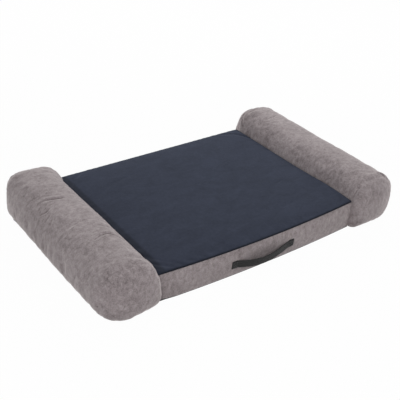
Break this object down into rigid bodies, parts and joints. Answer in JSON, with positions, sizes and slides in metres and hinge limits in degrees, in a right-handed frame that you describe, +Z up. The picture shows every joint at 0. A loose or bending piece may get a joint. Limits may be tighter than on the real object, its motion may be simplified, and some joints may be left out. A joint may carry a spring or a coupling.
{
  "type": "dog mattress",
  "caption": "Rectangular foam pet mattress with a stuffed roll at each short end, a removable zip cover and a webbing carrying handle on the front.",
  "frame": {"origin": "on the floor, under the middle of the mattress", "axes": "+X along the length towards the right roll, +Y from the handle side to the zip side, +Z up"},
  "size_m": [1.2, 0.73, 0.168],
  "materials": {
    "navy_suede": "brushed microfibre suede",
    "taupe_velour": "short-pile velour",
    "black_base_cloth": "dotted non-slip cloth",
    "liner_cloth": "plain woven cloth",
    "memory_foam": "open-cell foam",
    "support_foam": "open-cell foam",
    "fibre_filling": "polyester fibre",
    "webbing": "woven polypropylene webbing",
    "thread": "polyester thread",
    "zip_tape": "woven zip tape",
    "zip_nylon": "moulded nylon",
    "zip_metal": "gunmetal lacquer on die-cast zinc"
  },
  "bodies": {
    "mattress": {"top_panel": "navy_suede", "front_band": "taupe_velour", "back_band_upper": "taupe_velour", "back_band_lower": "taupe_velour", "base_panel": "black_base_cloth", "left_partition": "taupe_velour", "right_partition": "taupe_velour", "foam_liner": "liner_cloth", "memory_foam": "memory_foam", "support_foam": "support_foam", "zip_tapes": "zip_tape", "zip_chain": "zip_nylon", "zip_end_stops": "zip_metal", "handle_left_end": "webbing", "handle_right_end": "webbing", "handle_left_leg": "webbing", "handle_right_leg": "webbing", "handle_stitching": "thread", "left_roll_cover": "taupe_velour", "left_roll_front_end": "taupe_velour", "left_roll_back_end": "taupe_velour", "left_roll_case": "liner_cloth", "left_roll_filling": "fibre_filling", "left_zip_tapes": "zip_tape", "left_zip_chain": "zip_nylon", "left_zip_end_stops": "zip_metal", "right_roll_cover": "taupe_velour", "right_roll_front_end": "taupe_velour", "right_roll_back_end": "taupe_velour", "right_roll_case": "liner_cloth", "right_roll_filling": "fibre_filling", "right_zip_tapes": "zip_tape", "right_zip_chain": "zip_nylon", "right_zip_end_stops": "zip_metal"},
    "handle": {"handle_strap": "webbing"},
    "main_slider": {"zip_slider": "zip_metal"},
    "main_pull": {"zip_pull": "zip_metal"},
    "left_slider": {"left_zip_slider": "zip_metal"},
    "left_pull": {"left_zip_pull": "zip_metal"},
    "right_slider": {"right_zip_slider": "zip_metal"},
    "right_pull": {"right_zip_pull": "zip_metal"}
  },
  "joints": [
    {"name": "handle_swing", "type": "hinge", "parent": "mattress", "child": "handle", "pos_m": [-0.007, -0.3435, 0.045], "axis": [-1, 0, 0], "range_deg": [0, 45], "deforming": ["handle_left_leg", "handle_right_leg"]},
    {"name": "main_zip_slide", "type": "slide", "parent": "mattress", "child": "main_slider", "axis": [-1, 0, 0], "range_m": [0, 0.668]},
    {"name": "main_pull_lift", "type": "hinge", "parent": "main_slider", "child": "main_pull", "pos_m": [0.334, 0.3233, 0.052], "axis": [0, 0, -1], "range_deg": [0, 175]},
    {"name": "left_zip_slide", "type": "slide", "parent": "mattress", "child": "left_slider", "axis": [0, -1, 0], "range_m": [0, 0.548]},
    {"name": "left_pull_lift", "type": "hinge", "parent": "left_slider", "child": "left_pull", "pos_m": [-0.58307, 0.274, 0.01822], "axis": [0.7193, 0, -0.6947], "range_deg": [0, 175]},
    {"name": "right_zip_slide", "type": "slide", "parent": "mattress", "child": "right_slider", "axis": [0, -1, 0], "range_m": [0, 0.548]},
    {"name": "right_pull_lift", "type": "hinge", "parent": "right_slider", "child": "right_pull", "pos_m": [0.58307, 0.274, 0.01822], "axis": [0.7193, 0, 0.6947], "range_deg": [0, 175]}
  ]
}
